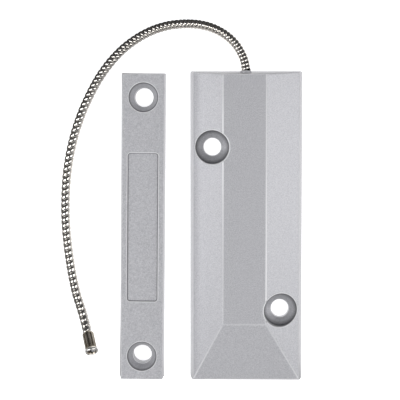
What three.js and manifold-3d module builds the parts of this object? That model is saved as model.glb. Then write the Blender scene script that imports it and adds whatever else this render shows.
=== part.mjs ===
// Magnetic door contact: a die-cast switch unit with a steel-armoured lead, and a die-cast magnet unit.
// Millimetres, +Z up. Both units lie on their backs at z = 0, +Y is the long way, and the lead leaves at +Y.
// The origin is the middle of the switch unit's back face.
import * as THREE from 'three';
import { mergeVertices } from 'three/addons/utils/BufferGeometryUtils.js';
import Module from 'manifold-3d';

const wasm = await Module();
wasm.setup();

// ---- switch unit: casting ----
const SWITCH_LENGTH = 108.4;
const SWITCH_WIDTH = 39;
const SWITCH_HEIGHT = 11;
const EDGE_HEIGHT = 4;              // where the side walls end and the sloping flanks start
const SIDE_DRAFT = 1;               // how far a side wall leans in over EDGE_HEIGHT
const TOP_DRAFT = 1.2;              // how far the cable end leans in over SWITCH_HEIGHT
const FOOT_DRAFT = 0.9;             // how far the far end leans in over EDGE_HEIGHT
const PLATEAU_WIDTH = 14.9;
const PLATEAU_X = -0.7;             // the ridge is cast slightly off the middle
const HIP_Y = -33.1;                // where the plateau ends and the hip slope starts
const SWITCH_WALL = 1.5;
const SWITCH_CORNERS = { cable: 0.7, footLeft: 1.9, footRight: 1.1 };
const SWITCH_HOLES = [[-11.8, 27.9], [11.8, -28.5]];
const COUNTERBORE_R = 5.8;
const CONE_TOP_Z = 4;
const CONE_BOTTOM_Z = 1.5;
const SWITCH_BORE_R = 2.95;
const BOSS_R = 7.4;
const CABLE_X = -0.2;
const CABLE_Z = 4;
const CABLE_HOLE_R = 2.1;
const POTTING_DEPTH = 2.2;
const GAP = 0.3;                    // the clearance between two pieces that touch on the real thing

// ---- magnet unit ----
const MAGNET_X = -36;
const MAGNET_Y = 0.4;
const MAGNET_LEAN = THREE.MathUtils.degToRad(-0.5);
const MAGNET_LENGTH = 106.2;
const MAGNET_HEIGHT = 10.5;
const MAGNET_CORNER = 0.4;
const MAGNET_BASE = [-7.9, 7.7];    // left and right edge at the back
const MAGNET_FACE = [-6.9, 7.5];    // left and right edge at the front
const MAGNET_END_DRAFT = 0.5;
const MAGNET_WALL = 1.4;
const MAGNET_MID = (MAGNET_FACE[0] + MAGNET_FACE[1]) / 2;
const MAGNET_HOLE_Y = 44.6;
const MAGNET_BORE_R = 3.2;
const SINK_R = 5;
const SINK_RIM = 0.4;               // the straight stretch above the cone
const SINK_DEPTH = 4.6;
const PANEL = { width: 10.4, length: 51, depth: 0.7, corner: 1 };
const CAVITY_HALF = 37.5;
const BAR = { width: 8.4, length: 34, height: 4.4 };
const CARRIER_WALL = 1;

// ---- reed switch and its wiring ----
const REED_Z = 5;
const GLASS = { from: -6, to: 10, r: 1.3, bore: 1.0, seal: 0.7, sealLength: 1.5, neck: 1.0 };
const BLADE = { width: 1, thickness: 0.25, contactGap: 0.05 };
const OVERLAP = [1.6, 3];           // the stretch along Y where the two blades lie over each other
const PIVOT_Y = 9;
const LEAD_R = 0.3;
const LOWER_LEAD_END = -13;
const UPPER_LEAD_END = 17;
const SLEEVE = { r: 1.15, bore: 0.75, length: 5 };
const WIRE_R = 0.5;
const WIRE_OFFSET = 0.65;
const CARRIER = { from: -15.6, to: 21, half: 4, bottom: 2.5, top: 5.4 };

// ---- armoured lead ----
const HOSE_R = 1.6;
const HOSE_STEPS = 24;
const CORD_SIDES = 8;
const BUSH = { from: 51.9, to: 54.25, r: 1.95, bore: 1.7 };
const ANCHOR = { from: 46.4, to: 51.5, r: 2.3, bore: 1.45 };
// The free lie of the hose: out of the bush, down to the surface, round, and up into the ferrule.
const HOSE_ROUTE = [
  [-0.2, 54.55, 4.0], [-0.45, 56.6, 3.92], [-1.4, 59.5, 3.45], [-4.0, 63.7, 2.35], [-7.8, 67.0, 1.7],
  [-12.3, 69.2, 1.65], [-17.3, 70.3, 1.65], [-22.4, 70.4, 1.65], [-27.4, 69.8, 1.65], [-32.3, 68.3, 1.65],
  [-37.1, 65.9, 1.65], [-42.3, 62.2, 1.65], [-47.0, 57.4, 1.65], [-51.1, 51.8, 1.65], [-54.5, 45.6, 1.65],
  [-57.4, 39.1, 1.65], [-59.7, 32.3, 1.65], [-61.4, 25.3, 1.65], [-62.5, 18.2, 1.65], [-63.0, 11.1, 1.65],
  [-63.1, 4.0, 1.65], [-62.7, -3.1, 1.65], [-61.9, -10.2, 1.65], [-60.8, -17.2, 1.65], [-59.4, -23.8, 1.65],
  [-57.75, -29.1, 1.65], [-56.9, -31.9, 1.96], [-56.05, -34.6, 2.86], [-55.3, -37.0, 4.32],
];
const FERRULE = { length: 7.6, r: 2.0, rim: 2.25, rimLength: 1.1, bore: 1.45 };
const FERRULE_HEADING = THREE.MathUtils.degToRad(-73);
const FERRULE_RISE = THREE.MathUtils.degToRad(36);

// ---- finishes ----
function finish(color, roughness, metalness) {
  return new THREE.MeshStandardMaterial({ color, roughness, metalness });
}
const FINISH = {
  castPaint: () => finish(0xb6b6ba, 0.5, 0.35),
  epoxy: () => finish(0x1d1e20, 0.45, 0),
  carrierPlastic: () => finish(0x2a2b2e, 0.6, 0),
  glass: () => finish(0x9fc4a8, 0.08, 0),
  reedMetal: () => finish(0xc8b070, 0.3, 1),
  sleeve: () => finish(0x161616, 0.7, 0),
  wireBlack: () => finish(0x101010, 0.5, 0),
  wireWhite: () => finish(0xc9cacc, 0.5, 0),
  steel: () => finish(0xc2c0bc, 0.25, 1),
  ferruleNickel: () => finish(0x8d8474, 0.35, 1),
  ferrite: () => finish(0x35363a, 0.75, 0.2),
};

// ---- solids ----
function toSolid(geometry) {
  const bare = geometry.index ? geometry.toNonIndexed() : geometry.clone();
  bare.deleteAttribute('normal');
  bare.deleteAttribute('uv');
  const merged = mergeVertices(bare, 1e-4);
  return new wasm.Manifold(new wasm.Mesh({
    numProp: 3,
    vertProperties: new Float32Array(merged.attributes.position.array),
    triVerts: new Uint32Array(merged.index.array),
  }));
}

function toGeometry(solid) {
  const mesh = solid.getMesh();
  const geometry = new THREE.BufferGeometry();
  geometry.setAttribute('position', new THREE.BufferAttribute(mesh.vertProperties, 3));
  geometry.setIndex(new THREE.BufferAttribute(mesh.triVerts, 1));
  geometry.computeVertexNormals();
  return geometry;
}

function outline(points) {
  return new THREE.Shape(points.map(([x, y]) => new THREE.Vector2(x, y)));
}

// A rectangle with its own radius at each corner, counted from the lower left, anticlockwise.
function roundedOutline(x0, y0, x1, y1, [r0, r1, r2, r3]) {
  const shape = new THREE.Shape();
  shape.absarc(x0 + r0, y0 + r0, r0, Math.PI, 1.5 * Math.PI);
  shape.absarc(x1 - r1, y0 + r1, r1, 1.5 * Math.PI, 2 * Math.PI);
  shape.absarc(x1 - r2, y1 - r2, r2, 0, 0.5 * Math.PI);
  shape.absarc(x0 + r3, y1 - r3, r3, 0.5 * Math.PI, Math.PI);
  return shape;
}

function extrudeZ(shape, z0, z1, curveSegments = 4) {
  const geometry = new THREE.ExtrudeGeometry(shape, { depth: z1 - z0, bevelEnabled: false, curveSegments });
  return geometry.translate(0, 0, z0);
}

// The shape's own x and y become X and Z, swept along Y.
function extrudeY(shape, y0, y1) {
  const geometry = new THREE.ExtrudeGeometry(shape, { depth: y1 - y0, bevelEnabled: false });
  return geometry.rotateX(Math.PI / 2).translate(0, y1, 0);
}

// The shape's own x and y become Y and Z, swept along X.
function extrudeX(shape, x0, x1) {
  const turn = new THREE.Matrix4().makeBasis(
    new THREE.Vector3(0, 1, 0), new THREE.Vector3(0, 0, 1), new THREE.Vector3(1, 0, 0));
  const geometry = new THREE.ExtrudeGeometry(shape, { depth: x1 - x0, bevelEnabled: false });
  return geometry.applyMatrix4(turn).translate(x0, 0, 0);
}

function box(x0, x1, y0, y1, z0, z1) {
  const geometry = new THREE.BoxGeometry(x1 - x0, y1 - y0, z1 - z0);
  return geometry.translate((x0 + x1) / 2, (y0 + y1) / 2, (z0 + z1) / 2);
}

// A turned piece: [radius, height] points round the Z axis. A ring's points come back to the first one.
function turned(points, segments = 24) {
  const profile = points.map(([r, z]) => new THREE.Vector2(r, z));
  return new THREE.LatheGeometry(profile, segments).rotateX(Math.PI / 2);
}

function ringProfile(outer, inner, from, to) {
  return [[inner, from], [outer, from], [outer, to], [inner, to], [inner, from]];
}

// A turned piece laid along Y, its height counted along +Y.
function turnedAlongY(points, x, z, segments = 16) {
  return turned(points, segments).rotateX(-Math.PI / 2).translate(x, 0, z);
}

function tube(points, radius, steps) {
  const path = new THREE.CatmullRomCurve3(points.map((p) => new THREE.Vector3(...p)), false, 'centripetal');
  const section = new THREE.Shape();
  for (let i = 0; i < CORD_SIDES; i += 1) {
    const angle = (i / CORD_SIDES) * 2 * Math.PI;
    const point = [radius * Math.cos(angle), radius * Math.sin(angle)];
    if (i === 0) section.moveTo(...point);
    else section.lineTo(...point);
  }
  return new THREE.ExtrudeGeometry(section, { steps, extrudePath: path, bevelEnabled: false });
}

function piece(name, geometry, material) {
  const mesh = new THREE.Mesh(geometry, material);
  mesh.name = name;
  return mesh;
}

// ---- switch unit ----
// The casting's form, inset by `wall`: a cross-section, a side profile and a plan, all swept and crossed.
function switchForm(wall, floorZ) {
  const half = SWITCH_WIDTH / 2 - wall;
  const edgeZ = EDGE_HEIGHT - 0.35 * wall;
  const top = SWITCH_HEIGHT - wall;
  const ridge = PLATEAU_WIDTH / 2 - 0.3 * wall;
  const end = SWITCH_LENGTH / 2 - wall;
  const foot = -end;
  const reach = SWITCH_LENGTH;
  const section = outline([
    [-half, floorZ], [half, floorZ], [half, 0], [half - SIDE_DRAFT, edgeZ],
    [PLATEAU_X + ridge, top], [PLATEAU_X - ridge, top], [-half + SIDE_DRAFT, edgeZ], [-half, 0],
  ]);
  const profile = outline([
    [foot, floorZ], [end, floorZ], [end, 0], [end - TOP_DRAFT, top],
    [HIP_Y + 0.3 * wall, top], [foot + FOOT_DRAFT, edgeZ], [foot, 0],
  ]);
  const { cable, footLeft, footRight } = SWITCH_CORNERS;
  const plan = roundedOutline(-half, foot, half, end, [footLeft, footRight, cable, cable]);
  return toSolid(extrudeY(section, -reach, reach))
    .intersect(toSolid(extrudeX(profile, -reach, reach)))
    .intersect(toSolid(extrudeZ(plan, floorZ, top)));
}

// What a screw and its countersunk head take out of the casting.
function switchHoleCutter([x, y]) {
  return toSolid(turned([
    [0, -1], [SWITCH_BORE_R, -1], [SWITCH_BORE_R, CONE_BOTTOM_Z], [COUNTERBORE_R, CONE_TOP_Z],
    [COUNTERBORE_R, SWITCH_HEIGHT + 1], [0, SWITCH_HEIGHT + 1],
  ], 32).translate(x, y, 0));
}

function boss([x, y], radius, z0, z1) {
  return toSolid(turned([[0, z0], [radius, z0], [radius, z1], [0, z1]], 32).translate(x, y, 0));
}

function switchHousing() {
  const outer = switchForm(0, 0);
  let solid = outer.subtract(switchForm(SWITCH_WALL, -1));
  for (const hole of SWITCH_HOLES) {
    solid = solid.add(boss(hole, BOSS_R, 0, SWITCH_HEIGHT).intersect(outer));
  }
  for (const hole of SWITCH_HOLES) {
    solid = solid.subtract(switchHoleCutter(hole));
  }
  const cableHole = turnedAlongY([[0, 48], [CABLE_HOLE_R, 48], [CABLE_HOLE_R, 56], [0, 56]], CABLE_X, CABLE_Z, 24);
  return toGeometry(solid.subtract(toSolid(cableHole)));
}

function switchPotting() {
  let solid = switchForm(SWITCH_WALL + GAP, 0).intersect(toSolid(box(-30, 30, -60, 60, 0, POTTING_DEPTH)));
  for (const hole of SWITCH_HOLES) {
    solid = solid.subtract(boss(hole, BOSS_R + GAP, -1, POTTING_DEPTH + 1));
  }
  const cableHole = turnedAlongY([[0, 44], [ANCHOR.r + GAP, 44], [ANCHOR.r + GAP, 56], [0, 56]], CABLE_X, CABLE_Z);
  return toGeometry(solid.subtract(toSolid(cableHole)));
}

// A moulded strip with a wide groove for the reed switch and a narrow one for the returning wire.
function reedCarrier() {
  const { from, to, half, bottom, top } = CARRIER;
  const section = outline([
    [-half, bottom], [half, bottom], [half, top], [3.7, top], [3.7, 3.8], [2.3, 3.8], [2.3, top],
    [1.7, top], [1.7, 3.5], [-1.7, 3.5], [-1.7, top], [-half, top],
  ]);
  return extrudeY(section, from, to);
}

function reedGlass() {
  const { from, to, r, bore, seal, sealLength, neck } = GLASS;
  return turnedAlongY([
    [seal, from], [neck, from], [r, from + sealLength], [r, to - sealLength], [neck, to], [seal, to],
    [seal, to - sealLength], [bore, to - 2 * sealLength], [bore, from + 2 * sealLength],
    [seal, from + sealLength], [seal, from],
  ], 0, REED_Z, 24);
}

// The blades stand on edge, and meet at x = 0.
function bladeStrip(x0, y0, y1) {
  return box(x0, x0 + BLADE.thickness, y0, y1, REED_Z - BLADE.width / 2, REED_Z + BLADE.width / 2);
}

function fixedBlade() {
  const x0 = -BLADE.contactGap - BLADE.thickness;
  const lead = turnedAlongY([
    [0, LOWER_LEAD_END], [LEAD_R, LOWER_LEAD_END], [LEAD_R, GLASS.from + 1.4], [0, GLASS.from + 1.4],
  ], x0 + BLADE.thickness / 2, REED_Z, 12);
  return toGeometry(toSolid(bladeStrip(x0, GLASS.from + 1, OVERLAP[1])).add(toSolid(lead)));
}

function movingBlade() {
  return bladeStrip(0, OVERLAP[0], PIVOT_Y - 0.1);
}

function movingBladeLead() {
  return turnedAlongY([[0, PIVOT_Y], [LEAD_R, PIVOT_Y], [LEAD_R, UPPER_LEAD_END], [0, UPPER_LEAD_END]],
    BLADE.thickness / 2, REED_Z, 12);
}

function solderSleeve(middle) {
  const { r, bore, length } = SLEEVE;
  return turnedAlongY(ringProfile(r, bore, middle - length / 2, middle + length / 2), 0, REED_Z, 16);
}

function blackWire() {
  return tube([
    [0, UPPER_LEAD_END + GAP, REED_Z], [0, 23, REED_Z], [-0.4, 32, 4.5],
    [CABLE_X - WIRE_OFFSET, 42, CABLE_Z], [CABLE_X - WIRE_OFFSET, 51, CABLE_Z],
  ], WIRE_R, 12);
}

function whiteWire() {
  return tube([
    [0, LOWER_LEAD_END - GAP, REED_Z], [0, -16.4, REED_Z], [0.6, -18.2, 4.8], [1.6, -18.8, 4.6],
    [2.6, -18.1, 4.5], [3, -16.2, 4.5], [3, -8, 4.5], [3, 8, 4.5], [3, 22, 4.5], [2.3, 32, 4.3],
    [CABLE_X + WIRE_OFFSET, 43, CABLE_Z], [CABLE_X + WIRE_OFFSET, 51, CABLE_Z],
  ], WIRE_R, 40);
}

function switchUnit() {
  const unit = new THREE.Group();
  const bush = turnedAlongY(ringProfile(BUSH.r, BUSH.bore, BUSH.from, BUSH.to), CABLE_X, CABLE_Z, 24);
  const anchor = turnedAlongY(ringProfile(ANCHOR.r, ANCHOR.bore, ANCHOR.from, ANCHOR.to), CABLE_X, CABLE_Z, 24);
  unit.add(
    piece('switch_housing', switchHousing(), FINISH.castPaint()),
    piece('switch_potting', switchPotting(), FINISH.epoxy()),
    piece('reed_carrier', reedCarrier(), FINISH.carrierPlastic()),
    piece('reed_glass', reedGlass(), FINISH.glass()),
    piece('reed_blade_fixed', fixedBlade(), FINISH.reedMetal()),
    piece('reed_blade_moving', movingBlade(), FINISH.reedMetal()),
    piece('moving_blade_lead', movingBladeLead(), FINISH.reedMetal()),
    piece('solder_sleeve_upper', solderSleeve(UPPER_LEAD_END), FINISH.sleeve()),
    piece('solder_sleeve_lower', solderSleeve(LOWER_LEAD_END), FINISH.sleeve()),
    piece('lead_wire_black', blackWire(), FINISH.wireBlack()),
    piece('lead_wire_white', whiteWire(), FINISH.wireWhite()),
    piece('hose_anchor', anchor, FINISH.ferruleNickel()),
    piece('hose_bush', bush, FINISH.castPaint()),
  );
  return unit;
}

// ---- armoured lead ----
function armourHose() {
  return piece('armour_hose', tube(HOSE_ROUTE, HOSE_R, HOSE_STEPS), FINISH.steel());
}

// The ferrule and the wire ends in it, built along Z and turned to point along the end of the hose.
function ferruleGroup() {
  const { length, r, rim, rimLength, bore } = FERRULE;
  const shell = turned([
    [bore, 0], [r, 0], [r, length - rimLength], [rim, length - rimLength + 0.2], [rim, length],
    [bore, length], [bore, 0],
  ], 24);
  const wireEnd = (x) => turned([[0, 0.4], [WIRE_R, 0.4], [WIRE_R, length - 1.2], [0, length - 1.2]], 12)
    .translate(x, 0, 0);
  const group = new THREE.Group();
  group.add(
    piece('end_ferrule', shell, FINISH.ferruleNickel()),
    piece('wire_end_black', wireEnd(-WIRE_OFFSET), FINISH.wireBlack()),
    piece('wire_end_white', wireEnd(WIRE_OFFSET), FINISH.wireWhite()),
  );
  const axis = new THREE.Vector3(
    Math.cos(FERRULE_RISE) * Math.cos(FERRULE_HEADING),
    Math.cos(FERRULE_RISE) * Math.sin(FERRULE_HEADING),
    Math.sin(FERRULE_RISE),
  );
  const side = new THREE.Vector3(-axis.y, axis.x, 0).normalize();
  const turn = new THREE.Matrix4().makeBasis(side, new THREE.Vector3().crossVectors(axis, side), axis);
  group.setRotationFromMatrix(turn);
  group.position.set(...HOSE_ROUTE.at(-1)).addScaledVector(axis, GAP);
  return group;
}

// ---- magnet unit, built round its own middle and then placed ----
function magnetForm(wall, floorZ, halfLength) {
  const top = MAGNET_HEIGHT - wall;
  const section = outline([
    [MAGNET_BASE[0] + wall, floorZ], [MAGNET_BASE[1] - wall, floorZ], [MAGNET_BASE[1] - wall, 0],
    [MAGNET_FACE[1] - wall, top], [MAGNET_FACE[0] + wall, top], [MAGNET_BASE[0] + wall, 0],
  ]);
  return toSolid(extrudeY(section, -halfLength, halfLength));
}

function magnetHousing() {
  const half = MAGNET_LENGTH / 2;
  const profile = outline([
    [-half, 0], [half, 0], [half - MAGNET_END_DRAFT, MAGNET_HEIGHT], [-half + MAGNET_END_DRAFT, MAGNET_HEIGHT],
  ]);
  const plan = roundedOutline(MAGNET_BASE[0], -half, MAGNET_BASE[1], half,
    Array(4).fill(MAGNET_CORNER));
  const panel = roundedOutline(MAGNET_MID - PANEL.width / 2, -PANEL.length / 2,
    MAGNET_MID + PANEL.width / 2, PANEL.length / 2, Array(4).fill(PANEL.corner));
  let solid = magnetForm(0, 0, half)
    .intersect(toSolid(extrudeX(profile, -20, 20)))
    .intersect(toSolid(extrudeZ(plan, 0, MAGNET_HEIGHT)))
    .subtract(magnetForm(MAGNET_WALL + PANEL.depth, -1, CAVITY_HALF))
    .subtract(toSolid(extrudeZ(panel, MAGNET_HEIGHT - PANEL.depth, MAGNET_HEIGHT + 1)));
  for (const y of [-MAGNET_HOLE_Y, MAGNET_HOLE_Y]) {
    const cutter = turned([
      [0, -1], [MAGNET_BORE_R, -1], [MAGNET_BORE_R, MAGNET_HEIGHT - SINK_DEPTH], [SINK_R, MAGNET_HEIGHT - SINK_RIM],
      [SINK_R, MAGNET_HEIGHT + 1], [0, MAGNET_HEIGHT + 1],
    ], 32).translate(MAGNET_MID, y, 0);
    solid = solid.subtract(toSolid(cutter));
  }
  return toGeometry(solid);
}

function magnetPotting() {
  const solid = magnetForm(MAGNET_WALL + PANEL.depth + GAP, 0, CAVITY_HALF - GAP);
  return toGeometry(solid.intersect(toSolid(box(-20, 20, -60, 60, 0, POTTING_DEPTH - 0.6))));
}

// An open tray with a rib across its middle, which holds the two bars end to end.
function magnetCarrier() {
  const floor = POTTING_DEPTH - GAP;
  const halfWidth = BAR.width / 2 + GAP + CARRIER_WALL / 2;
  const halfLength = BAR.length + CARRIER_WALL / 2 + 2 * GAP + CARRIER_WALL;
  const tray = toSolid(box(-halfWidth, halfWidth, -halfLength, halfLength, floor, floor + 3.4));
  const pockets = [-1, 1].map((side) => {
    const middle = side * (BAR.length / 2 + CARRIER_WALL / 2 + GAP);
    const half = BAR.length / 2 + GAP;
    return toSolid(box(-BAR.width / 2 - GAP / 2, BAR.width / 2 + GAP / 2, middle - half, middle + half,
      floor + CARRIER_WALL * 0.8, floor + 9));
  });
  return toGeometry(tray.subtract(pockets[0]).subtract(pockets[1]));
}

function barMagnet(side) {
  const bottom = POTTING_DEPTH + CARRIER_WALL * 0.8;
  const middle = side * (BAR.length / 2 + CARRIER_WALL / 2 + GAP);
  return box(-BAR.width / 2, BAR.width / 2, middle - BAR.length / 2, middle + BAR.length / 2,
    bottom, bottom + BAR.height);
}

function magnetUnit() {
  const unit = new THREE.Group();
  unit.add(
    piece('magnet_housing', magnetHousing(), FINISH.castPaint()),
    piece('magnet_potting', magnetPotting(), FINISH.epoxy()),
    piece('magnet_carrier', magnetCarrier(), FINISH.carrierPlastic()),
    piece('bar_magnet_upper', barMagnet(1), FINISH.ferrite()),
    piece('bar_magnet_lower', barMagnet(-1), FINISH.ferrite()),
  );
  unit.position.set(MAGNET_X, MAGNET_Y, 0);
  unit.rotation.z = MAGNET_LEAN;
  return unit;
}

const group = new THREE.Group();
group.add(switchUnit(), armourHose(), ferruleGroup(), magnetUnit());

export default group;
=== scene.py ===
import math

import bmesh
import bpy
from mathutils import Matrix, Vector


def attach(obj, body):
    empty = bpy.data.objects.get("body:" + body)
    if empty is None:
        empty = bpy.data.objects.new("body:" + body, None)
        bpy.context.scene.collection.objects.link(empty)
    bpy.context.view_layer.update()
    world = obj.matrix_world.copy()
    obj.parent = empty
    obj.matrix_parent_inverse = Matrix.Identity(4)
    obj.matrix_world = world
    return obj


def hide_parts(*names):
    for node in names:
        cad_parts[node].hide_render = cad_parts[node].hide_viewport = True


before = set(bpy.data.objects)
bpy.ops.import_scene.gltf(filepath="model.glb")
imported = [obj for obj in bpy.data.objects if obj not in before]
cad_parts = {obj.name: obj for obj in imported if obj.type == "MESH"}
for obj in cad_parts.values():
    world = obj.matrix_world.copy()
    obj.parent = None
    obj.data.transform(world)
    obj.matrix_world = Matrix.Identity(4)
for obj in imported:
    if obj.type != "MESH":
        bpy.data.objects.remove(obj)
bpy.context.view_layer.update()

MM = 0.001
TAU = 2 * math.pi

# ---------------------------------------------------------------- camera
CAMERA_HEIGHT = 0.5
CAMERA_FOOT = (-0.00982, 0.03981)
CAMERA_AIM = Vector((-0.01611, 0.00924, 0))
SENSOR_MM = 36
LENS_MM = 128.8

camera_data = bpy.data.cameras.new("camera")
camera_data.sensor_width = SENSOR_MM
camera_data.lens = LENS_MM
camera_data.clip_start = 0.01
camera_data.clip_end = 20
camera = bpy.data.objects.new("camera", camera_data)
bpy.context.scene.collection.objects.link(camera)
camera.location = (*CAMERA_FOOT, CAMERA_HEIGHT)
look_back = (camera.location - CAMERA_AIM).normalized()
look_right = Vector((0, 1, 0)).cross(look_back).normalized()
look_up = look_back.cross(look_right)
camera.rotation_euler = Matrix((look_right, look_up, look_back)).transposed().to_euler()
bpy.context.scene.camera = camera

# ---------------------------------------------------------------- the hose's centre line
# The same points as the CAD's route, in metres.
HOSE_ROUTE = [Vector(p) for p in [
    (-0.0002, 0.05455, 0.004), (-0.00045, 0.0566, 0.00392), (-0.0014, 0.0595, 0.00345),
    (-0.004, 0.0637, 0.00235), (-0.0078, 0.067, 0.0017), (-0.0123, 0.0692, 0.00165),
    (-0.0173, 0.0703, 0.00165), (-0.0224, 0.0704, 0.00165), (-0.0274, 0.0698, 0.00165),
    (-0.0323, 0.0683, 0.00165), (-0.0371, 0.0659, 0.00165), (-0.0423, 0.0622, 0.00165),
    (-0.047, 0.0574, 0.00165), (-0.0511, 0.0518, 0.00165), (-0.0545, 0.0456, 0.00165),
    (-0.0574, 0.0391, 0.00165), (-0.0597, 0.0323, 0.00165), (-0.0614, 0.0253, 0.00165),
    (-0.0625, 0.0182, 0.00165), (-0.063, 0.0111, 0.00165), (-0.0631, 0.004, 0.00165),
    (-0.0627, -0.0031, 0.00165), (-0.0619, -0.0102, 0.00165), (-0.0608, -0.0172, 0.00165),
    (-0.0594, -0.0238, 0.00165), (-0.05775, -0.0291, 0.00165), (-0.0569, -0.0319, 0.00196),
    (-0.05605, -0.0346, 0.00286), (-0.0553, -0.037, 0.00432),
]]
HOSE_DIAMETER = 0.0032
FERRULE_HEADING = math.radians(-73)
FERRULE_RISE = math.radians(36)
FERRULE_GAP = 0.0003
FERRULE_AXIS = Vector((
    math.cos(FERRULE_RISE) * math.cos(FERRULE_HEADING),
    math.cos(FERRULE_RISE) * math.sin(FERRULE_HEADING),
    math.sin(FERRULE_RISE),
))
HOSE_TUCK_IN = 0.0021      # how far the hose goes on inside the bush
HOSE_TUCK_OUT = 0.0014     # and inside the ferrule
SPAN_STEPS = 24            # points of the centre line between two points of the route
HOSE_PASSES = 30           # of smoothing over it


def catmull(points):
    """A centripetal Catmull-Rom line through the points."""
    ends = [points[0] * 2 - points[1], *points, points[-1] * 2 - points[-2]]
    line = []
    for a, b, c, d in zip(ends, ends[1:], ends[2:], ends[3:]):
        t1 = (b - a).length ** 0.5
        t2 = t1 + (c - b).length ** 0.5
        t3 = t2 + (d - c).length ** 0.5
        for i in range(SPAN_STEPS):
            t = t1 + (t2 - t1) * i / SPAN_STEPS
            ab = a.lerp(b, t / t1)
            bc = b.lerp(c, (t - t1) / (t2 - t1))
            cd = c.lerp(d, (t - t2) / (t3 - t2))
            abc = ab.lerp(bc, t / t2)
            bcd = bc.lerp(cd, (t - t1) / (t3 - t1))
            line.append(abc.lerp(bcd, (t - t1) / (t2 - t1)))
    line.append(points[-1].copy())
    return line


def resampled(line, step):
    """The same line with its points about step(at) apart, at being the way along it."""
    along = [0.0]
    for a, b in zip(line, line[1:]):
        along.append(along[-1] + (b - a).length)
    places = [0.0]
    while places[-1] < along[-1]:
        places.append(places[-1] + step(places[-1]))
    fit = along[-1] / places[-1]
    result, i = [], 0
    for at in (place * fit for place in places):
        while i < len(line) - 2 and along[i + 1] < at:
            i += 1
        share = (at - along[i]) / (along[i + 1] - along[i])
        result.append(line[i].lerp(line[i + 1], share))
    return result


def smoothed(line, passes):
    for _ in range(passes):
        inner = [(a + 2 * b + c) / 4 for a, b, c in zip(line, line[1:], line[2:])]
        line = [line[0], *inner, line[-1]]
    return line


def frames_along(line):
    """(point, side, up) at each point, turned as little as possible from one to the next."""
    tangents = [(b - a).normalized() for a, b in zip(line, line[1:])]
    tangents.append(tangents[-1])
    side = tangents[0].cross(Vector((0, 0, 1))).normalized()
    frames = []
    for i, (point, tangent) in enumerate(zip(line, tangents)):
        if i:
            side = tangents[i - 1].rotation_difference(tangent) @ side
        side = (side - tangent * side.dot(tangent)).normalized()
        frames.append((point, side, tangent.cross(side)))
    return frames


# ---------------------------------------------------------------- materials
class Nodes:
    """A material's node tree, with short ways to add what every finish needs."""

    def __init__(self, name):
        self.material = bpy.data.materials.new(name)
        self.material.use_nodes = True
        self.tree = self.material.node_tree
        self.shader = self.tree.nodes["Principled BSDF"]
        self.place = self.tree.nodes.new("ShaderNodeTexCoord").outputs["Object"]

    def set(self, **values):
        for socket, value in values.items():
            self.shader.inputs[socket.replace("_", " ")].default_value = value

    def link(self, source, socket):
        self.tree.links.new(source, socket)

    def stretched(self, scale):
        node = self.tree.nodes.new("ShaderNodeMapping")
        node.inputs["Scale"].default_value = scale
        self.link(self.place, node.inputs["Vector"])
        return node.outputs["Vector"]

    def noise(self, scale, detail=2.0, roughness=0.5, place=None):
        node = self.tree.nodes.new("ShaderNodeTexNoise")
        node.inputs["Scale"].default_value = scale
        node.inputs["Detail"].default_value = detail
        node.inputs["Roughness"].default_value = roughness
        self.link(place or self.place, node.inputs["Vector"])
        return node.outputs["Fac"]

    def attribute(self, name):
        node = self.tree.nodes.new("ShaderNodeAttribute")
        node.attribute_name = name
        return node.outputs["Fac"]

    def ranged(self, value, low, high, to_low, to_high):
        node = self.tree.nodes.new("ShaderNodeMapRange")
        for socket, number in zip(("From Min", "From Max", "To Min", "To Max"),
                                  (low, high, to_low, to_high)):
            node.inputs[socket].default_value = number
        self.link(value, node.inputs["Value"])
        return node.outputs["Result"]

    def math(self, operation, a, b):
        node = self.tree.nodes.new("ShaderNodeMath")
        node.operation = operation
        for socket, value in zip(node.inputs, (a, b)):
            if isinstance(value, (int, float)):
                socket.default_value = value
            else:
                self.link(value, socket)
        return node.outputs["Value"]

    def ramp(self, value, stops):
        node = self.tree.nodes.new("ShaderNodeValToRGB")
        elements = node.color_ramp.elements
        while len(elements) < len(stops):
            elements.new(0.5)
        for element, (position, color) in zip(elements, stops):
            element.position = position
            element.color = (*color, 1)
        self.link(value, node.inputs["Fac"])
        return node.outputs["Color"]

    def mixed(self, factor, a, b):
        node = self.tree.nodes.new("ShaderNodeMix")
        node.data_type = "RGBA"
        self.link(factor, node.inputs["Factor"])
        for socket, value in zip([s for s in node.inputs if s.type == "RGBA"], (a, b)):
            if isinstance(value, tuple):
                socket.default_value = (*value, 1)
            else:
                self.link(value, socket)
        return [s for s in node.outputs if s.type == "RGBA"][0]

    def blended(self, a, a_share, b, b_share):
        return self.math("ADD", self.math("MULTIPLY", a, a_share), self.math("MULTIPLY", b, b_share))

    def color(self, source):
        self.link(source, self.shader.inputs["Base Color"])

    def rough(self, source):
        self.link(source, self.shader.inputs["Roughness"])

    def bump(self, height, distance, strength):
        node = self.tree.nodes.new("ShaderNodeBump")
        node.inputs["Strength"].default_value = strength
        node.inputs["Distance"].default_value = distance
        self.link(height, node.inputs["Height"])
        self.link(node.outputs["Normal"], self.shader.inputs["Normal"])


def cast_paint():
    n = Nodes("cast_paint")
    n.set(Metallic=0.45)
    grain = n.noise(3000, detail=1, roughness=0.6)
    mottle = n.noise(1300, detail=1)
    base = n.ramp(n.blended(grain, 0.82, mottle, 0.18),
                  [(0.3, (0.385, 0.385, 0.41)), (0.7, (0.58, 0.58, 0.6))])
    # painted highlight: the colour goes to near white on the rounded edges that the point attribute edge
    # marks
    highlighted = n.mixed(n.attribute("edge"), base, (0.97, 0.97, 0.98))
    # painted shade: the colour goes nearly black in the inner corners marked by the point attribute for it
    n.color(n.mixed(n.math("MULTIPLY", n.attribute("corner_shade"), 0.85), highlighted, (0.07, 0.07, 0.075)))
    dulled = n.math("MULTIPLY", n.attribute("edge"), 0.9)
    n.rough(n.math("ADD", n.ranged(grain, 0.3, 0.7, 0.42, 0.54), dulled))
    n.bump(n.math("ADD", grain, n.math("MULTIPLY", mottle, 0.8)), 0.00003, 0.5)
    return n.material


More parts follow.
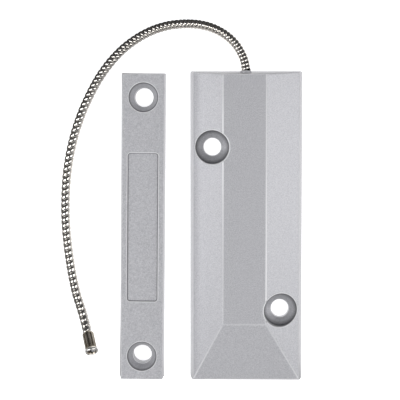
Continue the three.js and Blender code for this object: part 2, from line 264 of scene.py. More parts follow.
def epoxy():
    n = Nodes("epoxy")
    n.set(Coat_Weight=0.3, Coat_Roughness=0.08)
    cloud = n.noise(90, detail=3)
    specks = n.noise(1400, detail=1)
    n.color(n.ramp(n.blended(cloud, 0.7, specks, 0.3),
                   [(0.3, (0.012, 0.012, 0.014)), (0.75, (0.032, 0.032, 0.036))]))
    n.rough(n.ranged(cloud, 0.3, 0.7, 0.22, 0.42))
    n.bump(n.math("ADD", cloud, n.math("MULTIPLY", specks, 0.1)), 0.0001, 0.4)
    return n.material


def hose_steel():
    n = Nodes("hose_steel")
    n.set(Metallic=1.0)
    drawn = n.noise(900, detail=3, roughness=0.7)
    cloud = n.noise(160, detail=2)
    base = n.ramp(n.blended(drawn, 0.5, cloud, 0.5), [(0.3, (0.45, 0.425, 0.39)), (0.7, (0.6, 0.575, 0.54))])
    # painted shade: the steel goes nearly black down in the grooves between turns
    n.color(n.mixed(n.attribute("groove_shade"), base, (0.05, 0.042, 0.034)))
    n.rough(n.ranged(drawn, 0.3, 0.7, 0.12, 0.24))
    n.bump(drawn, 0.00001, 0.4)
    return n.material


def ferrule_nickel():
    n = Nodes("ferrule_nickel")
    n.set(Metallic=1.0)
    drawn = n.noise(700, detail=3, roughness=0.7)
    stain = n.noise(230, detail=3)
    base = n.ramp(stain, [(0.35, (0.5, 0.44, 0.35)), (0.7, (0.7, 0.64, 0.55))])
    # painted shade in the flutes
    flute_shaded = n.mixed(n.attribute("groove_shade"), base, (0.11, 0.085, 0.055))
    # painted highlight on the rolled rim
    n.color(n.mixed(n.attribute("edge"), flute_shaded, (0.86, 0.84, 0.8)))
    n.rough(n.ranged(drawn, 0.3, 0.7, 0.2, 0.36))
    n.bump(drawn, 0.000015, 0.5)
    return n.material


def moulded(name, dark, light, low, high):
    """Moulded plastic or rubber: two close shades, a fine grain."""
    n = Nodes(name)
    grain = n.noise(1800, detail=3, roughness=0.6)
    cloud = n.noise(120, detail=2)
    n.color(n.ramp(n.blended(grain, 0.4, cloud, 0.6), [(0.3, dark), (0.7, light)]))
    n.rough(n.ranged(grain, 0.3, 0.7, low, high))
    n.bump(grain, 0.00001, 0.5)
    return n.material


def glass():
    n = Nodes("reed_glass")
    n.set(Transmission_Weight=0.95, IOR=1.5)
    streak = n.noise(200, detail=2, place=n.stretched((1, 0.1, 1)))
    n.color(n.ramp(streak, [(0.3, (0.55, 0.75, 0.6)), (0.7, (0.68, 0.86, 0.72))]))
    n.rough(n.ranged(streak, 0.3, 0.7, 0.02, 0.08))
    return n.material


def reed_metal():
    n = Nodes("reed_metal")
    n.set(Metallic=1.0)
    drawn = n.noise(1500, detail=2, place=n.stretched((1, 0.05, 1)))
    n.color(n.ramp(drawn, [(0.3, (0.56, 0.47, 0.3)), (0.7, (0.74, 0.66, 0.45))]))
    n.rough(n.ranged(drawn, 0.3, 0.7, 0.18, 0.34))
    n.bump(drawn, 0.000005, 0.5)
    return n.material


def ferrite():
    n = Nodes("ferrite")
    n.set(Metallic=0.2)
    pits = n.noise(2200, detail=4, roughness=0.7)
    n.color(n.ramp(pits, [(0.3, (0.02, 0.02, 0.023)), (0.7, (0.06, 0.06, 0.066))]))
    n.rough(n.ranged(pits, 0.3, 0.7, 0.6, 0.85))
    n.bump(pits, 0.00003, 0.6)
    return n.material


def copper():
    n = Nodes("copper")
    n.set(Metallic=1.0)
    strand = n.noise(1800, detail=2)
    n.color(n.ramp(strand, [(0.3, (0.55, 0.26, 0.14)), (0.7, (0.8, 0.45, 0.27))]))
    n.rough(n.ranged(strand, 0.3, 0.7, 0.25, 0.45))
    return n.material


FINISH = {
    "cast_paint": cast_paint(),
    "epoxy": epoxy(),
    "hose_steel": hose_steel(),
    "ferrule_nickel": ferrule_nickel(),
    "carrier_plastic": moulded("carrier_plastic", (0.015, 0.015, 0.018), (0.035, 0.035, 0.04),
                               0.5, 0.68),
    "sleeve_rubber": moulded("sleeve_rubber", (0.006, 0.006, 0.006), (0.016, 0.016, 0.016), 0.6, 0.75),
    "wire_black": moulded("wire_black", (0.004, 0.004, 0.004), (0.014, 0.014, 0.014), 0.35, 0.5),
    "wire_white": moulded("wire_white", (0.42, 0.425, 0.44), (0.56, 0.565, 0.58), 0.35, 0.5),
    "reed_glass": glass(),
    "reed_metal": reed_metal(),
    "ferrite": ferrite(),
    "copper": copper(),
}


# ---------------------------------------------------------------- mesh tools (all in millimetres)
BLANK_SIZE = 300           # the cube that a convex solid is cut from
ON_PLANE = 1e-5
CORNER_STEPS = 7
ROUND_SIDES = 48
POST_SIDES = 64
EXIT_X, EXIT_Z = -0.2, 4   # where the lead leaves the switch unit
LAID_ALONG_Y = Matrix.Rotation(-math.pi / 2, 4, "X")


def as_object(name, bm):
    mesh = bpy.data.meshes.new(name)
    bmesh.ops.recalc_face_normals(bm, faces=bm.faces)
    bm.to_mesh(mesh)
    bm.free()
    obj = bpy.data.objects.new(name, mesh)
    bpy.context.scene.collection.objects.link(obj)
    return obj


def convex(planes):
    """The solid behind all of these (point, normal) planes."""
    bm = bmesh.new()
    bmesh.ops.create_cube(bm, size=BLANK_SIZE)
    for point, normal in planes:
        cut = bmesh.ops.bisect_plane(
            bm, geom=bm.verts[:] + bm.edges[:] + bm.faces[:], dist=ON_PLANE,
            plane_co=point, plane_no=normal, clear_outer=True)
        edges = [g for g in cut["geom_cut"] if isinstance(g, bmesh.types.BMEdge)]
        if edges:
            bmesh.ops.edgeloop_fill(bm, edges=edges)
    return bm


def side_planes(points, place):
    """The planes of an anticlockwise convex outline. place puts a flat (a, b) into space."""
    origin = place(0, 0)
    planes = []
    for (a0, b0), (a1, b1) in zip(points, points[1:] + points[:1]):
        planes.append((place(a0, b0), place(b1 - b0, a0 - a1) - origin))
    return planes


def in_xz(a, b):
    return Vector((a, 0, b))


def in_yz(a, b):
    return Vector((0, a, b))


def in_xy(a, b):
    return Vector((a, b, 0))


def rounded(x0, y0, x1, y1, radii):
    """A rectangle with its own radius at each corner, from the lower left, anticlockwise."""
    points = []
    for (cx, cy, r), start in zip(
            ((x0 + radii[0], y0 + radii[0], radii[0]), (x1 - radii[1], y0 + radii[1], radii[1]),
             (x1 - radii[2], y1 - radii[2], radii[2]), (x0 + radii[3], y1 - radii[3], radii[3])),
            (0.5, 0.75, 0.0, 0.25)):
        for i in range(CORNER_STEPS + 1):
            angle = TAU * (start + 0.25 * i / CORNER_STEPS)
            points.append((cx + r * math.cos(angle), cy + r * math.sin(angle)))
    return points


def turned(profile, segments=ROUND_SIDES, closed=False):
    """A solid turned round Z from (radius, height) points. A ring's profile closes on itself."""
    bm = bmesh.new()
    rows = []
    for r, z in profile:
        if r == 0:
            rows.append([bm.verts.new((0, 0, z))] * segments)
        else:
            rows.append([bm.verts.new((r * math.cos(TAU * i / segments),
                                       r * math.sin(TAU * i / segments), z)) for i in range(segments)])
    pairs = list(zip(rows, rows[1:]))
    if closed:
        pairs.append((rows[-1], rows[0]))
    for low, high in pairs:
        for i in range(segments):
            k = (i + 1) % segments
            corners = []
            for v in (low[i], low[k], high[k], high[i]):
                if v not in corners:
                    corners.append(v)
            if len(corners) > 2:
                bm.faces.new(corners)
    return bm


def prism(points, z0, z1):
    bm = bmesh.new()
    low = [bm.verts.new((x, y, z0)) for x, y in points]
    high = [bm.verts.new((x, y, z1)) for x, y in points]
    bm.faces.new(low[::-1])
    bm.faces.new(high)
    for i in range(len(points)):
        k = (i + 1) % len(points)
        bm.faces.new((low[i], low[k], high[k], high[i]))
    return bm


def moved(bm, matrix):
    bmesh.ops.transform(bm, matrix=matrix, verts=bm.verts)
    return bm


def cylinder_z(r, x, y):
    """A cylinder that passes right through the switch unit."""
    bm = turned([(0, -3), (r, -3), (r, 14), (0, 14)], POST_SIDES)
    return moved(bm, Matrix.Translation((x, y, 0)))


def cylinder_y(r, y0, y1):
    """A cylinder along the lead's way out of the switch unit."""
    bm = turned([(0, y0), (r, y0), (r, y1), (0, y1)])
    return moved(bm, Matrix.Translation((EXIT_X, 0, EXIT_Z)) @ LAID_ALONG_Y)


def evaluated(obj):
    """The object with its modifiers made real."""
    depsgraph = bpy.context.evaluated_depsgraph_get()
    depsgraph.update()
    mesh = bpy.data.meshes.new_from_object(obj.evaluated_get(depsgraph))
    obj.modifiers.clear()
    old = obj.data
    obj.data = mesh
    bpy.data.meshes.remove(old)
    return obj


FACE_KINDS = 3                      # what a face of a casting belongs to
SKIN, HIDDEN, BORED = range(FACE_KINDS)
CORNER_SHADE_WIDTH = 0.35                 # how far the painted shade in an inner corner reaches
OUTER_HIGHLIGHT = 0.6                    # how bright the painted highlight on the outer edges is, beside the rim of a hole
RIDGE_HIGHLIGHT = 0.22                   # and the ridges
EDGE_SEGMENTS = 3
SHARP_ANGLE = math.radians(17)      # edges that turn less than this stay as they are
WELD = 0.02
LEVEL = 0.99                        # the least height of a level face's normal
STEEP = 0.4                         # and the most of a side wall's


def combined(obj, tool, kind=SKIN):
    """Cuts the tool out of obj. The faces that it leaves are of that kind."""
    for o in (obj, tool):
        while len(o.data.materials) < FACE_KINDS:
            o.data.materials.append(FINISH["cast_paint"])
    for polygon in tool.data.polygons:
        polygon.material_index = kind
    cut = obj.modifiers.new("cut", "BOOLEAN")
    cut.operation = "DIFFERENCE"
    cut.solver = "EXACT"
    cut.object = tool
    evaluated(obj)
    bpy.data.objects.remove(tool)
    return obj


def eased(obj, rim_width, ridge_width, top):
    """Rounds the sharp outer edges above the back, and marks them in the point attribute edge for a painted
    highlight; the inner corners are marked for painted shade.
    """
    bm = bmesh.new()
    bm.from_mesh(obj.data)
    bmesh.ops.remove_doubles(bm, verts=bm.verts, dist=WELD)
    # level floors of holes and recesses get an inset ring, so the painted corner shade stays narrow
    for face in [f for f in bm.faces if f.material_index == BORED and f.normal.z > LEVEL]:
        bmesh.ops.inset_individual(bm, faces=[face], thickness=CORNER_SHADE_WIDTH, use_even_offset=True)
    weight = bm.edges.layers.float.new("bevel_weight_edge")
    highlight = bm.verts.layers.float.new("edge")
    corner_shade = bm.verts.layers.float.new("corner_shade")
    for edge in bm.edges:
        if len(edge.link_faces) != 2 or edge.calc_face_angle() < SHARP_ANGLE:
            continue
        shown = all(f.material_index != HIDDEN and f.normal.z > -LEVEL for f in edge.link_faces)
        if shown and edge.is_convex:
            rim = any(f.material_index == BORED for f in edge.link_faces)
            edge[weight] = 1.0 if rim else ridge_width / rim_width
            outer = min(abs(f.normal.z) for f in edge.link_faces) < STEEP
            for v in edge.verts:
                v[highlight] = max(v[highlight], 1.0 if rim else OUTER_HIGHLIGHT if outer else RIDGE_HIGHLIGHT)
        else:
            edge.smooth = False
            # the inner corners get painted shade
            if shown:
                for v in edge.verts:
                    v[corner_shade] = 1.0
    for face in bm.faces:
        face.material_index = 0
        face.smooth = True
    bm.to_mesh(obj.data)
    bm.free()
    bevel = obj.modifiers.new("bevel", "BEVEL")
    bevel.width = rim_width
    bevel.segments = EDGE_SEGMENTS
    bevel.limit_method = "WEIGHT"
    bevel.use_clamp_overlap = False
    bevel.miter_outer = "MITER_SHARP"
    bevel.harden_normals = True
    bevel.material = 1
    evaluated(obj)
    mesh = obj.data
    plain = set()
    for polygon in mesh.polygons:
        if polygon.material_index == 0:
            plain.update(polygon.vertices)
        polygon.material_index = 0
    # points off the rounded edges lose the painted highlight
    highlighted = mesh.attributes["edge"].data
    for i in plain:
        highlighted[i].value = 0.0
    for v in mesh.vertices:
        v.co.z = min(max(v.co.z, 0), top)
    return obj


def finished(obj, finish, body, slot, *nodes, matrix=None):
    """Puts a piece made in millimetres in its place, ties it to its body and hides the CAD nodes it stands
    for; slot is not used.
    """
    if matrix:
        obj.data.transform(matrix)
    obj.data.transform(Matrix.Scale(MM, 4))
    obj.data.materials.clear()
    obj.data.materials.append(FINISH[finish])
    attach(obj, body)
    if nodes:
        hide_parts(*nodes)
    return obj


def smooth(obj):
    for polygon in obj.data.polygons:
        polygon.use_smooth = True
    return obj


# ---------------------------------------------------------------- the armoured lead
HOSE_PITCH = (1.3, 2.0)    # between two ribs, at the housing and where the hose has been pulled out
HOSE_STRETCHED = (30, 90)  # how far along it goes from the one to the other
HOSE_STARTS = 2            # strips wound side by side
HOSE_ROWS = 12             # rows of points to one rib
HOSE_SIDES = 40
HOSE_RIDGE = 0.34          # how deep the groove between two turns is
GROOVE_SHADE_FADE = 1.8          # how soon the painted shade in the groove gives way to bright steel up the strip
PATH_STEP = 4              # every which point goes into the cord's path


def rib_pitch(at):
    share = min(max((at - HOSE_STRETCHED[0]) / (HOSE_STRETCHED[1] - HOSE_STRETCHED[0]), 0), 1)
    return HOSE_PITCH[0] + (HOSE_PITCH[1] - HOSE_PITCH[0]) * share


def armour_hose():
    line = catmull([p / MM for p in HOSE_ROUTE])
    start = (line[0] - line[1]).normalized()
    line = [line[0] + start * HOSE_TUCK_IN / MM, *line, line[-1] + FERRULE_AXIS * HOSE_TUCK_OUT / MM]
    line = smoothed(resampled(line, lambda at: HOSE_PITCH[0] / HOSE_ROWS), HOSE_PASSES)
    line = resampled(line, lambda at: rib_pitch(at) / HOSE_ROWS)
    frames = frames_along(line)
    last = len(frames) - 1
    bm = bmesh.new()
    groove_shade = bm.verts.layers.float.new("groove_shade")
    rows = []
    per_turn = HOSE_ROWS * HOSE_STARTS
    for row in range(last - per_turn + 1):
        ring = []
        for side in range(HOSE_SIDES):
            at = row + per_turn * side / HOSE_SIDES
            low = min(int(at), last - 1)
            share = at - low
            point = frames[low][0].lerp(frames[low + 1][0], share)
            across = frames[low][1].lerp(frames[low + 1][1], share).normalized()
            up = frames[low][2].lerp(frames[low + 1][2], share).normalized()
            turn = row / HOSE_ROWS % 1
            crown = math.sqrt(max(0.0, 1 - (2 * turn - 1) ** 2))
            radius = HOSE_DIAMETER / MM / 2 - HOSE_RIDGE * (1 - crown)
            angle = TAU * side / HOSE_SIDES
            vert = bm.verts.new(point + (across * math.cos(angle) + up * math.sin(angle)) * radius)
            # painted shade in the groove: full at its bottom, none on the crown
            vert[groove_shade] = max(0.0, 1 - crown * GROOVE_SHADE_FADE)
            ring.append(vert)
        rows.append(ring)
    for i, (near, far) in enumerate(zip(rows, rows[1:])):
        for side in range(HOSE_SIDES):
            if side < HOSE_SIDES - 1:
                corners = (near[side], near[side + 1], far[side + 1], far[side])
            elif i + per_turn + 1 < len(rows):
                corners = (near[side], rows[i + per_turn][0], rows[i + per_turn + 1][0], far[side])
            else:
                continue
            bm.faces.new(corners)
    bmesh.ops.delete(bm, geom=[v for v in bm.verts if not v.link_faces], context="VERTS")
    bmesh.ops.holes_fill(bm, edges=[e for e in bm.edges if e.is_boundary])
    obj = smooth(as_object("lead_hose", bm))
    return obj, [tuple(p * MM) for p in [*line[::PATH_STEP], line[-1]]]


FERRULE_LENGTH = 7.6
FERRULE_R = 2.0
FERRULE_RIM = 2.25
FERRULE_BORE = 1.45
FERRULE_SIDES = 72
FERRULE_SKIN_R = 1.8       # points further out than this are on its outside
FERRULE_RIM_Z = 6.45
FERRULE_LIP_R = 1.6
FLUTES = 10
FLUTE_DEPTH = 0.2
FLUTE_SHARPNESS = 1.5


def ferrule():
    """The crimped sleeve, turned round Z: shallow flutes along it, then a rolled rim."""
    length = FERRULE_LENGTH
    profile = [
        (1.66, 0.12, 0), (1.78, 0, 0), (1.9, 0.05, 0), (1.98, 0.3, 0.2), (FERRULE_R, 0.8, 1),
        (FERRULE_R, 2.4, 1), (FERRULE_R, 4.0, 1), (FERRULE_R, 5.6, 1), (FERRULE_R - 0.02, 6.1, 0.5),
        (FERRULE_R, 6.35, 0), (2.1, 6.5, 0), (2.2, 6.62, 0), (FERRULE_RIM, 6.85, 0),
        (FERRULE_RIM, 7.1, 0), (2.22, 7.32, 0), (2.12, 7.5, 0), (1.98, length, 0), (1.8, 7.58, 0),
        (1.65, 7.46, 0), (1.52, 7.26, 0), (FERRULE_BORE, 6.9, 0), (FERRULE_BORE, 4.4, 0),
        (FERRULE_BORE, 1.7, 0), (1.64, 1.55, 0), (1.66, 0.8, 0),
    ]
    bm = turned([(r, z) for r, z, _ in profile], FERRULE_SIDES, closed=True)
    edge = bm.verts.layers.float.new("edge")
    groove_shade = bm.verts.layers.float.new("groove_shade")
    shares = {round(z, 3): share for _, z, share in profile if share}
    for v in bm.verts:
        r = math.hypot(v.co.x, v.co.y)
        share = shares.get(round(v.co.z, 3), 0) if r > FERRULE_SKIN_R else 0
        if share:
            angle = math.atan2(v.co.y, v.co.x)
            depth = share * (0.5 - 0.5 * math.cos(FLUTES * angle)) ** FLUTE_SHARPNESS
            dip = FLUTE_DEPTH * depth
            # the flutes get painted shade as deep as they are
            v[groove_shade] = depth
            v.co.x *= 1 - dip / r
            v.co.y *= 1 - dip / r
        # the rolled rim gets the painted highlight
        v[edge] = 1.0 if v.co.z > FERRULE_RIM_Z and r > FERRULE_LIP_R else 0.0
    return smooth(as_object("lead_ferrule", bm))


WIRE_R = 0.7
WIRE_SPREAD = 0.71         # from the sleeve's axis to the middle of a wire
WIRE_SIDES = 32
WIRE_SHORT = 0.4           # how far inside the mouth the wires end
STRAND_SIDES = 12
STRAND_RINGS = ((0, 1), (0.17, 6))      # (radius, how many)


def wire_end(name, x):
    """A cut wire: insulation with a rounded lip, and its own copper core."""
    top = FERRULE_LENGTH - WIRE_SHORT
    bm = turned([(0.3, 1.9), (WIRE_R, 1.9), (WIRE_R, 4.2), (WIRE_R, top - 0.1), (WIRE_R - 0.04, top - 0.03),
                 (WIRE_R - 0.1, top), (0.34, top), (0.3, top - 0.05), (0.3, 4.2)], WIRE_SIDES, closed=True)
    insulation = smooth(as_object(name, moved(bm, Matrix.Translation((x, 0, 0)))))
    core = bmesh.new()
    for ring, count in STRAND_RINGS:
        for i in range(count):
            angle = TAU * i / count
            strand = turned([(0, 2.2), (0.085, 2.2), (0.085, top - 0.2), (0.06, top - 0.16),
                             (0, top - 0.15)], STRAND_SIDES)
            moved(strand, Matrix.Translation((x + ring * math.cos(angle), ring * math.sin(angle), 0)))
            mesh = bpy.data.meshes.new("strand")
            strand.to_mesh(mesh)
            strand.free()
            core.from_mesh(mesh)
            bpy.data.meshes.remove(mesh)
    return insulation, smooth(as_object(name + "_core", core))


BUSH_Y = 51.9              # its inner end
BUSH_LIP_Z = 2.2           # where its rounded lip begins


def bush():
    """The collar that the hose comes out of, turned round Z and then laid along Y."""
    bm = turned([(1.7, 0), (1.95, 0), (1.95, 2.1), (1.9, 2.25), (1.8, 2.32), (1.72, 2.3), (1.7, 2.2)],
                closed=True)
    edge = bm.verts.layers.float.new("edge")
    for v in bm.verts:
        # the lip gets the painted highlight of the cast paint
        v[edge] = 1.0 if v.co.z > BUSH_LIP_Z else 0.0
    lay = Matrix.Translation((EXIT_X, BUSH_Y, EXIT_Z)) @ LAID_ALONG_Y
    return smooth(as_object("lead_bush", moved(bm, lay)))


hose, hose_line = armour_hose()
finished(hose, "hose_steel", "switch_unit", "hose_steel", "armour_hose")
side = Vector((-FERRULE_AXIS.y, FERRULE_AXIS.x, 0)).normalized()
turn = Matrix((side, FERRULE_AXIS.cross(side), FERRULE_AXIS)).transposed().to_4x4()
ferrule_place = Matrix.Translation((HOSE_ROUTE[-1] + FERRULE_AXIS * FERRULE_GAP) / MM) @ turn
lead_end = [finished(ferrule(), "ferrule_nickel", "switch_unit", "ferrule_nickel", "end_ferrule",
                     matrix=ferrule_place)]
for name, finish, offset in (("wire_end_black", "wire_black", -WIRE_SPREAD),
                             ("wire_end_white", "wire_white", WIRE_SPREAD)):
    insulation, core = wire_end(name + "_cut", offset)
    lead_end.append(finished(insulation, finish, "switch_unit", finish, name, matrix=ferrule_place))
    lead_end.append(finished(core, "copper", "switch_unit", finish, matrix=ferrule_place))
collar = finished(bush(), "cast_paint", "switch_unit", "cast_paint", "hose_bush")

# ---------------------------------------------------------------- switch unit
SWITCH_LENGTH = 108.4
SWITCH_WIDTH = 39
SWITCH_HEIGHT = 11
EDGE_HEIGHT = 4
SIDE_DRAFT = 1
TOP_DRAFT = 1.2
FOOT_DRAFT = 0.9
PLATEAU_WIDTH = 14.9
PLATEAU_X = -0.7
HIP_Y = -33.1
SWITCH_BORE_R = 2.95
SWITCH_WALL = 1.5
EDGE_INSET = 0.35          # how far inner edges lie from outer ones, in wall thicknesses
RIDGE_INSET = 0.3
SWITCH_RADII = (1.9, 1.1, 0.7, 0.7)
SWITCH_HOLES = ((-11.8, 27.9), (11.8, -28.5))
COUNTERBORE_R = 5.8
CONE_BOTTOM_Z = 1.5
CONE_TOP_Z = 4
BOSS_R = 7.4
EXIT_BORE_R = 2.1
EXIT_POST_R = 2.6
HOLE_SIDES = 64
SWITCH_RIM = 0.5           # how wide the rims of the holes are rounded
SWITCH_RIDGE = 0.36        # and the other edges
SWITCH_FILL = 2.2          # how deep the epoxy is


def switch_form(wall, floor):
    """The unit's outer form, or with a wall thickness its hollow, down to the floor's height."""
    half = SWITCH_WIDTH / 2 - wall
    edge_z = EDGE_HEIGHT - EDGE_INSET * wall
    top = SWITCH_HEIGHT - wall
    ridge = PLATEAU_WIDTH / 2 - RIDGE_INSET * wall
    end = SWITCH_LENGTH / 2 - wall
    section = [(half, 0), (half - SIDE_DRAFT, edge_z), (PLATEAU_X + ridge, top),
               (PLATEAU_X - ridge, top), (-half + SIDE_DRAFT, edge_z), (-half, 0)]
    profile = [(end, 0), (end - TOP_DRAFT, top), (HIP_Y + RIDGE_INSET * wall, top),
               (-end + FOOT_DRAFT, edge_z), (-end, 0)]
    if floor < 0:
        section = [(-half, floor), (half, floor), *section]
        profile = [(-end, floor), (end, floor), *profile]
    plan = rounded(-half, -end, half, end, SWITCH_RADII)
    return convex(side_planes(section, in_xz) + side_planes(profile, in_yz) + side_planes(plan, in_xy))


def switch_casting():
    solid = as_object("switch_casting", switch_form(0, 0))
    cavity = as_object("cavity", switch_form(SWITCH_WALL, -1))
    for x, y in SWITCH_HOLES:
        combined(cavity, as_object("post", cylinder_z(BOSS_R, x, y)))
    combined(solid, cavity, HIDDEN)
    for x, y in SWITCH_HOLES:
        drill = turned([(0, -1), (SWITCH_BORE_R, -1), (SWITCH_BORE_R, CONE_BOTTOM_Z), (4.5, 2.86),
                        (COUNTERBORE_R, CONE_TOP_Z), (COUNTERBORE_R, 14), (0, 14)], HOLE_SIDES)
        combined(solid, as_object("drill", moved(drill, Matrix.Translation((x, y, 0)))), BORED)
    combined(solid, as_object("drill", cylinder_y(EXIT_BORE_R, 48, 58)), BORED)
    return eased(solid, SWITCH_RIM, SWITCH_RIDGE, SWITCH_HEIGHT)


finished(switch_casting(), "cast_paint", "switch_unit", "cast_paint", "switch_housing")


POUR_GAP = 0.05            # between the epoxy and the walls
POUR_LEVEL = 0.18          # how far the epoxy's face lies inside the back
POUR_WAVE = 0.06
POUR_VOXEL = 0.5
POUR_FACE_Z = 0.8          # points lower than this are on its face


def poured(name, block, tools):
    """Potting compound: a slab with rounded edges and a slightly wavy face at the back."""
    slab = as_object(name, block)
    for tool in tools:
        combined(slab, tool)
    remesh = slab.modifiers.new("remesh", "REMESH")
    remesh.mode = "VOXEL"
    remesh.voxel_size = POUR_VOXEL
    evaluated(slab)
    for v in slab.data.vertices:
        if v.co.z < POUR_FACE_Z:
            x, y = v.co.x, v.co.y
            ripple = math.sin(x * 0.41 + 1.3) * math.sin(y * 0.23) + math.sin(x * 0.17 - y * 0.31)
            v.co.z += POUR_LEVEL + POUR_WAVE * ripple
    return smooth(slab)


def slab(form, top):
    """The form, cut off level at this height."""
    bmesh.ops.bisect_plane(form, geom=form.verts[:] + form.edges[:] + form.faces[:], dist=ON_PLANE,
                           plane_co=(0, 0, top), plane_no=(0, 0, 1), clear_outer=True)
    bmesh.ops.holes_fill(form, edges=[e for e in form.edges if e.is_boundary])
    return form


posts = []
for x, y in SWITCH_HOLES:
    posts.append(as_object("post", cylinder_z(BOSS_R + POUR_GAP, x, y)))
posts.append(as_object("post", cylinder_y(EXIT_POST_R, 44, 58)))
switch_fill = slab(switch_form(SWITCH_WALL + POUR_GAP, 0), SWITCH_FILL)
switch_back = poured("switch_back_fill", switch_fill, posts)
finished(switch_back, "epoxy", "switch_unit", "epoxy", "switch_potting")

# ---------------------------------------------------------------- magnet unit
MAGNET_LENGTH = 106.2
MAGNET_CORNER = 0.4
MAGNET_HEIGHT = 10.5
MAGNET_BASE = (-7.9, 7.7)
MAGNET_FACE = (-6.9, 7.5)
MAGNET_END_DRAFT = 0.5
MAGNET_WALL = 1.4
MAGNET_BORE_R = 3.2
SINK_R = 5
SINK_DEPTH = 4.6
MAGNET_RIM = 0.38          # how wide the rims of the holes and of the recess are rounded
MAGNET_RIDGE = 0.22        # and the other edges
MAGNET_FILL = 1.6
MAGNET_MID = sum(MAGNET_FACE) / 2
MAGNET_HOLE_Y = 44.6
PANEL = (10.4, 51, 0.7)    # the label recess: width, length and depth
PANEL_CORNER = 1
CAVITY_HALF = 37.5
MAGNET_PLACE = Matrix.Translation((-36, 0.4, 0)) @ Matrix.Rotation(math.radians(-0.5), 4, "Z")


def magnet_form(wall, floor, half, draft=0.0):
    """As switch_form, half being half its length."""
    top = MAGNET_HEIGHT - wall
    section = [(MAGNET_BASE[1] - wall, 0), (MAGNET_FACE[1] - wall, top),
               (MAGNET_FACE[0] + wall, top), (MAGNET_BASE[0] + wall, 0)]
    profile = [(half, 0), (half - draft, top), (-half + draft, top), (-half, 0)]
    if floor < 0:
        section = [(MAGNET_BASE[0] + wall, floor), (MAGNET_BASE[1] - wall, floor), *section]
        profile = [(-half, floor), (half, floor), *profile]
    plan = rounded(MAGNET_BASE[0] + wall, -half, MAGNET_BASE[1] - wall, half, [MAGNET_CORNER] * 4)
    return convex(side_planes(section, in_xz) + side_planes(profile, in_yz) + side_planes(plan, in_xy))


def magnet_casting():
    solid = as_object("magnet_casting", magnet_form(0, 0, MAGNET_LENGTH / 2, MAGNET_END_DRAFT))
    combined(solid, as_object("cavity", magnet_form(MAGNET_WALL + PANEL[2], -1, CAVITY_HALF)), HIDDEN)
    width, length, depth = PANEL
    panel = rounded(MAGNET_MID - width / 2, -length / 2, MAGNET_MID + width / 2, length / 2,
                    [PANEL_CORNER] * 4)
    combined(solid, as_object("panel", prism(panel, MAGNET_HEIGHT - depth, MAGNET_HEIGHT + 1)), BORED)
    for y in (-MAGNET_HOLE_Y, MAGNET_HOLE_Y):
        drill = turned([(0, -1), (MAGNET_BORE_R, -1), (MAGNET_BORE_R, MAGNET_HEIGHT - SINK_DEPTH),
                        (4.5, MAGNET_HEIGHT - 1.57), (SINK_R, MAGNET_HEIGHT - 0.4),
                        (SINK_R, MAGNET_HEIGHT + 2), (0, MAGNET_HEIGHT + 2)], HOLE_SIDES)
        combined(solid, as_object("drill", moved(drill, Matrix.Translation((MAGNET_MID, y, 0)))), BORED)
    return eased(solid, MAGNET_RIM, MAGNET_RIDGE, MAGNET_HEIGHT)


finished(magnet_casting(), "cast_paint", "magnet_unit", "cast_paint", "magnet_housing",
         matrix=MAGNET_PLACE)
magnet_hollow = magnet_form(MAGNET_WALL + PANEL[2] + POUR_GAP, 0, CAVITY_HALF - POUR_GAP)
magnet_back = poured("magnet_back_fill", slab(magnet_hollow, MAGNET_FILL), [])
finished(magnet_back, "epoxy", "magnet_unit", "epoxy", "magnet_potting", matrix=MAGNET_PLACE)

# ---------------------------------------------------------------- inner pieces that the CAD already shapes
INNER = {
    "reed_carrier": "carrier_plastic", "reed_glass": "reed_glass",
    "reed_blade_fixed": "reed_metal", "reed_blade_moving": "reed_metal",
    "moving_blade_lead": "reed_metal", "solder_sleeve_upper": "sleeve_rubber",
    "solder_sleeve_lower": "sleeve_rubber", "lead_wire_black": "wire_black",
    "lead_wire_white": "wire_white", "hose_anchor": "ferrule_nickel",
    "magnet_carrier": "carrier_plastic", "bar_magnet_upper": "ferrite",
    "bar_magnet_lower": "ferrite",
}
for name, finish in INNER.items():
    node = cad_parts[name]
    for material_slot in node.material_slots:
        material_slot.material = FINISH[finish]

# ---------------------------------------------------------------- floor, world and lights
FLOOR_HALF = 3.0
FLOOR_Z = -0.0002
GLOW_CENTRE = (-0.004, 0.006, 0)
GLOW_EDGE = (0.058, 0.068)     # how far from the centre the bright glow ends and the dim one begins
GLOW_INNER = 1.4
GLOW_OUTER = (0.42, 0.08)      # the dim glow at the foot of the object, and at its head
GLOW_OUTER_Y = (-0.03, 0.03)   # where the one turns into the other
LIGHT_AIM = Vector((-0.01, 0.0, 0.0))
WORLD_COLOR = (0.93, 0.95, 1.0, 1)
WORLD_STRENGTH = 0.12


def floor_glow(tree):
    """What the floor is to all but the camera: painted light, a glow bright round the units and dim beyond
    the hose's bow, so the steel reflects dark there.
    """
    def add(kind, **inputs):
        node = tree.nodes.new(kind)
        for name, value in inputs.items():
            socket = node.inputs[name.replace("_", " ")]
            if isinstance(value, bpy.types.NodeSocket):
                tree.links.new(value, socket)
            else:
                socket.default_value = value
        return node

    place = add("ShaderNodeTexCoord").outputs["Object"]
    away = add("ShaderNodeMapping", Vector=place,
               Location=tuple(-v for v in GLOW_CENTRE)).outputs["Vector"]
    distance = tree.nodes.new("ShaderNodeVectorMath")
    distance.operation = "LENGTH"
    tree.links.new(away, distance.inputs[0])
    beyond = add("ShaderNodeMapRange", Value=distance.outputs["Value"],
                 From_Min=GLOW_EDGE[0], From_Max=GLOW_EDGE[1]).outputs["Result"]
    split = add("ShaderNodeSeparateXYZ", Vector=place)
    outer = add("ShaderNodeMapRange", Value=split.outputs["Y"],
                From_Min=GLOW_OUTER_Y[0], From_Max=GLOW_OUTER_Y[1],
                To_Min=GLOW_OUTER[0], To_Max=GLOW_OUTER[1]).outputs["Result"]
    level = tree.nodes.new("ShaderNodeMix")
    tree.links.new(beyond, level.inputs["Factor"])
    level.inputs[2].default_value = GLOW_INNER
    tree.links.new(outer, level.inputs[3])
    return add("ShaderNodeEmission", Strength=level.outputs[0]).outputs[0]


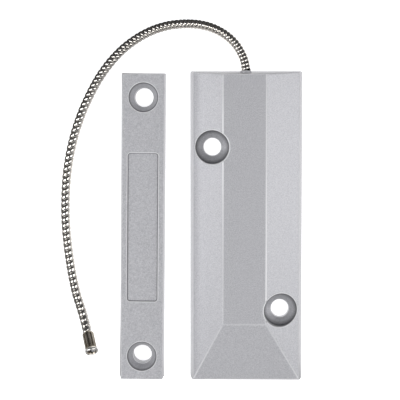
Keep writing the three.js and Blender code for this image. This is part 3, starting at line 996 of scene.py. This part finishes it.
def floor():
    bm = bmesh.new()
    bmesh.ops.create_grid(bm, x_segments=2, y_segments=2, size=FLOOR_HALF)
    obj = as_object("floor", bm)
    material = bpy.data.materials.new("floor")
    material.use_nodes = True
    tree = material.node_tree
    shader = tree.nodes["Principled BSDF"]
    shader.inputs["Base Color"].default_value = (0.85, 0.85, 0.85, 1)
    shader.inputs["Roughness"].default_value = 0.9
    shader.inputs["Specular IOR Level"].default_value = 0.1
    shader.inputs["Emission Color"].default_value = (1, 1, 1, 1)
    shader.inputs["Emission Strength"].default_value = 0.7
    glow = floor_glow(tree)
    path = tree.nodes.new("ShaderNodeLightPath")
    mix = tree.nodes.new("ShaderNodeMixShader")
    # the camera sees the plain pale floor, all other rays the painted glow
    tree.links.new(path.outputs["Is Camera Ray"], mix.inputs[0])
    tree.links.new(glow, mix.inputs[1])
    tree.links.new(shader.outputs[0], mix.inputs[2])
    tree.links.new(mix.outputs[0], tree.nodes["Material Output"].inputs["Surface"])
    obj.data.materials.append(material)
    obj.location.z = FLOOR_Z


def softbox(name, location, size, power, shadow=True):
    data = bpy.data.lights.new(name, "AREA")
    data.shape = "RECTANGLE"
    data.size, data.size_y = size
    data.energy = power
    data.use_shadow = shadow
    lamp = bpy.data.objects.new(name, data)
    bpy.context.scene.collection.objects.link(lamp)
    lamp.location = location
    lamp.rotation_euler = (LIGHT_AIM - Vector(location)).to_track_quat("-Z", "Y").to_euler()


floor()
softbox("left_box", (-0.62, 0.0, 0.64), (0.25, 0.9), 3.2)
softbox("left_fill", (-0.62, 0.0, 0.62), (0.25, 0.9), 1.5, shadow=False)
softbox("right_box", (0.62, 0.0, 0.62), (0.4, 0.9), 4.6)
softbox("foot_box", (-0.08, -0.35, 0.35), (0.5, 0.2), 0.5)
world = bpy.data.worlds.new("world")
world.use_nodes = True
background = world.node_tree.nodes["Background"]
background.inputs["Color"].default_value = WORLD_COLOR
background.inputs["Strength"].default_value = WORLD_STRENGTH
bpy.context.scene.world = world
bpy.context.scene.view_settings.view_transform = "Standard"
